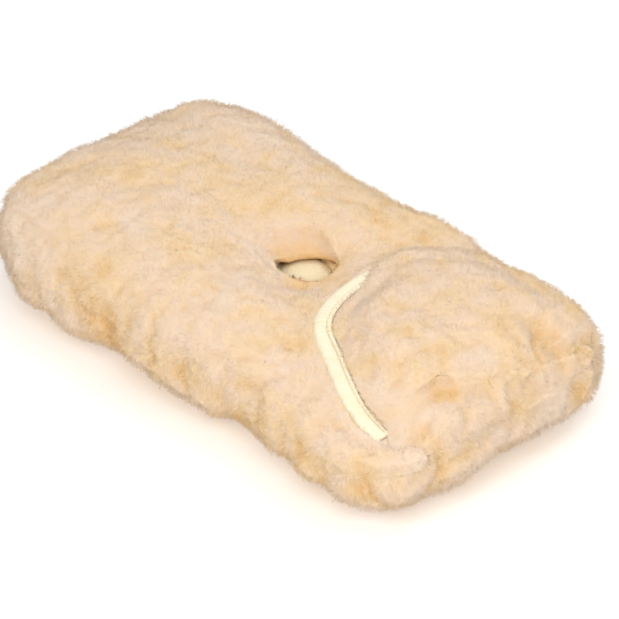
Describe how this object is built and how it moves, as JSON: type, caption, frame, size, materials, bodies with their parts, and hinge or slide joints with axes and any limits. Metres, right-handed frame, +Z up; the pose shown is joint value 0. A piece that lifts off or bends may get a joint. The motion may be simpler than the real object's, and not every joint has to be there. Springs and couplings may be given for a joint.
{
  "type": "wash mitt",
  "caption": "Slip-on long-pile fleece wash mitt with a flat hand pocket, a thumb hole in the top panel and a taped, elasticated hood over the heel opening.",
  "frame": {"origin": "centre of the footprint, on the surface that the mitt lies on", "axes": "+X from the closed toe to the heel with the opening, +Z up out of the top panel, +Y across"},
  "size_m": [0.3, 0.168, 0.074],
  "materials": {
    "fleece_pile": "cream sheared long pile, soft, clumped into locks",
    "knitted_backing": "plain cream knit",
    "binding_tape": "pale cream woven tape, folded, slight sheen",
    "elastic": "white braided elastic",
    "thread": "cream polyester sewing thread"
  },
  "bodies": {
    "mitt": {"sole_fleece": "fleece_pile", "top_fleece": "fleece_pile", "sole_backing": "knitted_backing", "top_backing": "knitted_backing", "mouth_binding": "binding_tape", "mouth_binding_stitches": "thread", "thumb_hole_overlock": "thread", "side_seam": "thread", "hood_tack_near": "thread", "hood_tack_far": "thread"},
    "hood": {"hood_fleece": "fleece_pile", "hood_backing": "knitted_backing", "hood_binding": "binding_tape", "hood_elastic": "elastic", "hood_binding_stitches": "thread"}
  },
  "joints": [
    {"name": "hood_lift", "type": "hinge", "parent": "mitt", "child": "hood", "pos_m": [0.126, 0.005, 0.05575], "axis": [0, 1, 0], "range_deg": [0, 45]}
  ]
}
